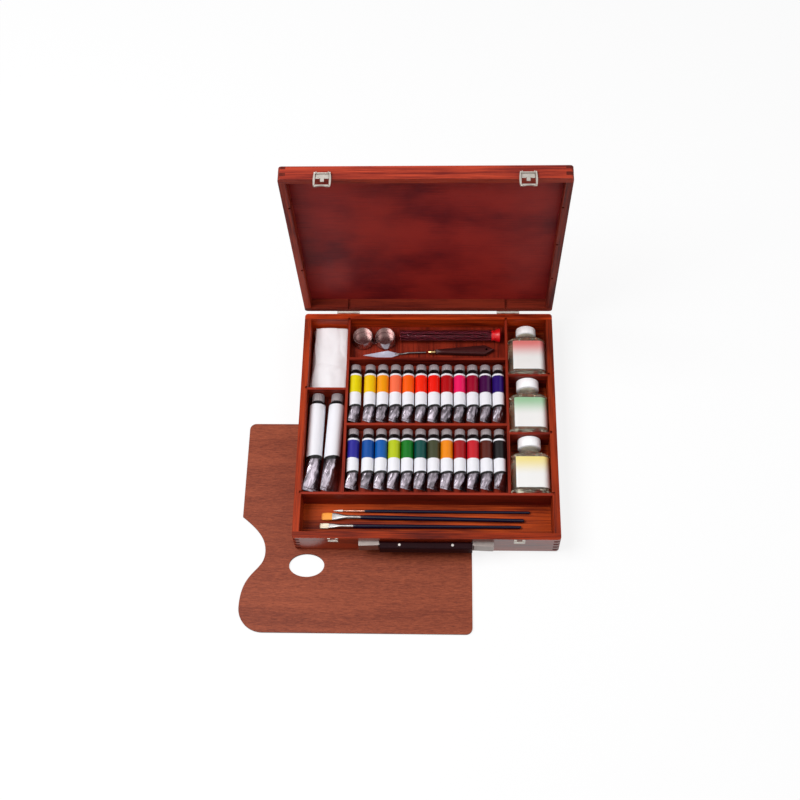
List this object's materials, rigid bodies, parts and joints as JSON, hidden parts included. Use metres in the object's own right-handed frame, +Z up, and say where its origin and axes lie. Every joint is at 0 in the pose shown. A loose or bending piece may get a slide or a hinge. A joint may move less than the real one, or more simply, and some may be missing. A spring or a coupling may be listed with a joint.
{
  "type": "oil paint set box",
  "caption": "Wooden artist's case with a hinged lid, latches and handle, laid out with paint tubes, bottles, tools, brushes and a loose palette under one corner.",
  "frame": {"origin": "centre of the footprint of the whole set on the table, palette included", "axes": "+X to the right of someone facing the open case, +Y to the back where the lid stands, +Z up"},
  "size_m": [0.4894, 0.5481, 0.4522],
  "materials": {
    "case_wood": "satin red-brown stained hardwood",
    "case_panel": "satin red-brown stained plywood",
    "divider_wood": "satin red-brown stained hardwood",
    "hinge_steel": "nickel-plated steel",
    "latch_steel": "nickel-plated steel",
    "bracket_chrome": "bright plated sheet",
    "grip_plastic": "black moulded plastic",
    "palette_ply": "oiled mahogany plywood",
    "cloth_cotton": "white cotton",
    "white_tube": "enamelled aluminium",
    "bottle_pink": "clear glass with a pink label",
    "bottle_green": "clear glass with a green label",
    "bottle_yellow": "clear glass with a yellow label",
    "dipper_steel": "polished plated steel",
    "charcoal_plastic": "clear tube over black charcoal",
    "knife_steel": "polished spring steel",
    "brush_lacquer": "dark blue lacquer",
    "back_paint_01": "enamelled aluminium tube",
    "back_paint_02": "enamelled aluminium tube",
    "back_paint_03": "enamelled aluminium tube",
    "back_paint_04": "enamelled aluminium tube",
    "back_paint_05": "enamelled aluminium tube",
    "back_paint_06": "enamelled aluminium tube",
    "back_paint_07": "enamelled aluminium tube",
    "back_paint_08": "enamelled aluminium tube",
    "back_paint_09": "enamelled aluminium tube",
    "back_paint_10": "enamelled aluminium tube",
    "back_paint_11": "enamelled aluminium tube",
    "back_paint_12": "enamelled aluminium tube",
    "front_paint_01": "enamelled aluminium tube",
    "front_paint_02": "enamelled aluminium tube",
    "front_paint_03": "enamelled aluminium tube",
    "front_paint_04": "enamelled aluminium tube",
    "front_paint_05": "enamelled aluminium tube",
    "front_paint_06": "enamelled aluminium tube",
    "front_paint_07": "enamelled aluminium tube",
    "front_paint_08": "enamelled aluminium tube",
    "front_paint_09": "enamelled aluminium tube",
    "front_paint_10": "enamelled aluminium tube",
    "front_paint_11": "enamelled aluminium tube",
    "front_paint_12": "enamelled aluminium tube"
  },
  "bodies": {
    "base": {"base_front_wall": "case_wood", "base_back_wall": "case_wood", "base_left_wall": "case_wood", "base_right_wall": "case_wood", "base_bottom": "case_panel", "front_divider": "divider_wood", "long_dividers": "divider_wood", "cross_dividers": "divider_wood", "raised_floor": "case_panel", "hinge_base_leaves": "hinge_steel", "hinge_pins": "hinge_steel", "latch_keepers": "latch_steel", "handle_brackets": "bracket_chrome"},
    "lid": {"lid_front_wall": "case_wood", "lid_back_wall": "case_wood", "lid_left_wall": "case_wood", "lid_right_wall": "case_wood", "lid_panel": "case_panel", "hinge_lid_leaves": "hinge_steel", "latch_plates": "latch_steel"},
    "latch_frame_left": {"latch_frame_left": "latch_steel"},
    "latch_frame_right": {"latch_frame_right": "latch_steel"},
    "handle": {"handle_grip": "grip_plastic"},
    "palette": {"palette": "palette_ply"},
    "cleaning_cloth": {"cleaning_cloth": "cloth_cotton"},
    "large_tube_left": {"large_tube_left": "white_tube"},
    "large_tube_right": {"large_tube_right": "white_tube"},
    "bottle_back": {"bottle_back": "bottle_pink"},
    "bottle_middle": {"bottle_middle": "bottle_green"},
    "bottle_front": {"bottle_front": "bottle_yellow"},
    "double_dipper": {"double_dipper": "dipper_steel"},
    "charcoal_tube": {"charcoal_tube": "charcoal_plastic"},
    "painting_knife": {"painting_knife": "knife_steel"},
    "fine_round_brush": {"fine_round_brush": "brush_lacquer"},
    "wide_flat_brush": {"wide_flat_brush": "brush_lacquer"},
    "narrow_flat_brush": {"narrow_flat_brush": "brush_lacquer"},
    "back_tube_01": {"back_tube_01": "back_paint_01"},
    "back_tube_02": {"back_tube_02": "back_paint_02"},
    "back_tube_03": {"back_tube_03": "back_paint_03"},
    "back_tube_04": {"back_tube_04": "back_paint_04"},
    "back_tube_05": {"back_tube_05": "back_paint_05"},
    "back_tube_06": {"back_tube_06": "back_paint_06"},
    "back_tube_07": {"back_tube_07": "back_paint_07"},
    "back_tube_08": {"back_tube_08": "back_paint_08"},
    "back_tube_09": {"back_tube_09": "back_paint_09"},
    "back_tube_10": {"back_tube_10": "back_paint_10"},
    "back_tube_11": {"back_tube_11": "back_paint_11"},
    "back_tube_12": {"back_tube_12": "back_paint_12"},
    "front_tube_01": {"front_tube_01": "front_paint_01"},
    "front_tube_02": {"front_tube_02": "front_paint_02"},
    "front_tube_03": {"front_tube_03": "front_paint_03"},
    "front_tube_04": {"front_tube_04": "front_paint_04"},
    "front_tube_05": {"front_tube_05": "front_paint_05"},
    "front_tube_06": {"front_tube_06": "front_paint_06"},
    "front_tube_07": {"front_tube_07": "front_paint_07"},
    "front_tube_08": {"front_tube_08": "front_paint_08"},
    "front_tube_09": {"front_tube_09": "front_paint_09"},
    "front_tube_10": {"front_tube_10": "front_paint_10"},
    "front_tube_11": {"front_tube_11": "front_paint_11"},
    "front_tube_12": {"front_tube_12": "front_paint_12"}
  },
  "joints": [
    {"name": "lid_hinge", "type": "hinge", "parent": "base", "child": "lid", "pos_m": [0.04225, 0.25217, 0.05315], "axis": [-1, 0, 0], "range_deg": [-86.5, 0]},
    {"name": "latch_left_swing", "type": "hinge", "parent": "lid", "child": "latch_frame_left", "pos_m": [-0.09825, 0.23674, 0.4504], "axis": [-1, 0, 0], "range_deg": [0, 110]},
    {"name": "latch_right_swing", "type": "hinge", "parent": "lid", "child": "latch_frame_right", "pos_m": [0.18275, 0.23674, 0.4504], "axis": [-1, 0, 0], "range_deg": [0, 110]},
    {"name": "handle_swing", "type": "hinge", "parent": "base", "child": "handle", "pos_m": [0.04225, -0.14688, 0.0408], "axis": [-1, 0, 0], "range_deg": [0, 90]},
    {"name": "palette_slide_out", "type": "slide", "parent": "base", "child": "palette", "axis": [0, -1, 0], "range_m": [0, 0.23]},
    {"name": "cleaning_cloth_lift", "type": "slide", "parent": "base", "child": "cleaning_cloth", "axis": [0, 0, 1], "range_m": [0, 0.06]},
    {"name": "large_tube_left_lift", "type": "slide", "parent": "base", "child": "large_tube_left", "axis": [0, 0, 1], "range_m": [0, 0.06]},
    {"name": "large_tube_right_lift", "type": "slide", "parent": "base", "child": "large_tube_right", "axis": [0, 0, 1], "range_m": [0, 0.06]},
    {"name": "bottle_back_lift", "type": "slide", "parent": "base", "child": "bottle_back", "axis": [0, 0, 1], "range_m": [0, 0.06]},
    {"name": "bottle_middle_lift", "type": "slide", "parent": "base", "child": "bottle_middle", "axis": [0, 0, 1], "range_m": [0, 0.06]},
    {"name": "bottle_front_lift", "type": "slide", "parent": "base", "child": "bottle_front", "axis": [0, 0, 1], "range_m": [0, 0.06]},
    {"name": "double_dipper_lift", "type": "slide", "parent": "base", "child": "double_dipper", "axis": [0, 0, 1], "range_m": [0, 0.045]},
    {"name": "charcoal_tube_lift", "type": "slide", "parent": "base", "child": "charcoal_tube", "axis": [0, 0, 1], "range_m": [0, 0.045]},
    {"name": "painting_knife_lift", "type": "slide", "parent": "base", "child": "painting_knife", "axis": [0, 0, 1], "range_m": [0, 0.045]},
    {"name": "fine_round_brush_lift", "type": "slide", "parent": "base", "child": "fine_round_brush", "axis": [0, 0, 1], "range_m": [0, 0.06]},
    {"name": "wide_flat_brush_lift", "type": "slide", "parent": "base", "child": "wide_flat_brush", "axis": [0, 0, 1], "range_m": [0, 0.06]},
    {"name": "narrow_flat_brush_lift", "type": "slide", "parent": "base", "child": "narrow_flat_brush", "axis": [0, 0, 1], "range_m": [0, 0.06]},
    {"name": "back_tube_01_lift", "type": "slide", "parent": "base", "child": "back_tube_01", "axis": [0, 0, 1], "range_m": [0, 0.045]},
    {"name": "back_tube_02_lift", "type": "slide", "parent": "base", "child": "back_tube_02", "axis": [0, 0, 1], "range_m": [0, 0.045]},
    {"name": "back_tube_03_lift", "type": "slide", "parent": "base", "child": "back_tube_03", "axis": [0, 0, 1], "range_m": [0, 0.045]},
    {"name": "back_tube_04_lift", "type": "slide", "parent": "base", "child": "back_tube_04", "axis": [0, 0, 1], "range_m": [0, 0.045]},
    {"name": "back_tube_05_lift", "type": "slide", "parent": "base", "child": "back_tube_05", "axis": [0, 0, 1], "range_m": [0, 0.045]},
    {"name": "back_tube_06_lift", "type": "slide", "parent": "base", "child": "back_tube_06", "axis": [0, 0, 1], "range_m": [0, 0.045]},
    {"name": "back_tube_07_lift", "type": "slide", "parent": "base", "child": "back_tube_07", "axis": [0, 0, 1], "range_m": [0, 0.045]},
    {"name": "back_tube_08_lift", "type": "slide", "parent": "base", "child": "back_tube_08", "axis": [0, 0, 1], "range_m": [0, 0.045]},
    {"name": "back_tube_09_lift", "type": "slide", "parent": "base", "child": "back_tube_09", "axis": [0, 0, 1], "range_m": [0, 0.045]},
    {"name": "back_tube_10_lift", "type": "slide", "parent": "base", "child": "back_tube_10", "axis": [0, 0, 1], "range_m": [0, 0.045]},
    {"name": "back_tube_11_lift", "type": "slide", "parent": "base", "child": "back_tube_11", "axis": [0, 0, 1], "range_m": [0, 0.045]},
    {"name": "back_tube_12_lift", "type": "slide", "parent": "base", "child": "back_tube_12", "axis": [0, 0, 1], "range_m": [0, 0.045]},
    {"name": "front_tube_01_lift", "type": "slide", "parent": "base", "child": "front_tube_01", "axis": [0, 0, 1], "range_m": [0, 0.045]},
    {"name": "front_tube_02_lift", "type": "slide", "parent": "base", "child": "front_tube_02", "axis": [0, 0, 1], "range_m": [0, 0.045]},
    {"name": "front_tube_03_lift", "type": "slide", "parent": "base", "child": "front_tube_03", "axis": [0, 0, 1], "range_m": [0, 0.045]},
    {"name": "front_tube_04_lift", "type": "slide", "parent": "base", "child": "front_tube_04", "axis": [0, 0, 1], "range_m": [0, 0.045]},
    {"name": "front_tube_05_lift", "type": "slide", "parent": "base", "child": "front_tube_05", "axis": [0, 0, 1], "range_m": [0, 0.045]},
    {"name": "front_tube_06_lift", "type": "slide", "parent": "base", "child": "front_tube_06", "axis": [0, 0, 1], "range_m": [0, 0.045]},
    {"name": "front_tube_07_lift", "type": "slide", "parent": "base", "child": "front_tube_07", "axis": [0, 0, 1], "range_m": [0, 0.045]},
    {"name": "front_tube_08_lift", "type": "slide", "parent": "base", "child": "front_tube_08", "axis": [0, 0, 1], "range_m": [0, 0.045]},
    {"name": "front_tube_09_lift", "type": "slide", "parent": "base", "child": "front_tube_09", "axis": [0, 0, 1], "range_m": [0, 0.045]},
    {"name": "front_tube_10_lift", "type": "slide", "parent": "base", "child": "front_tube_10", "axis": [0, 0, 1], "range_m": [0, 0.045]},
    {"name": "front_tube_11_lift", "type": "slide", "parent": "base", "child": "front_tube_11", "axis": [0, 0, 1], "range_m": [0, 0.045]},
    {"name": "front_tube_12_lift", "type": "slide", "parent": "base", "child": "front_tube_12", "axis": [0, 0, 1], "range_m": [0, 0.045]}
  ]
}
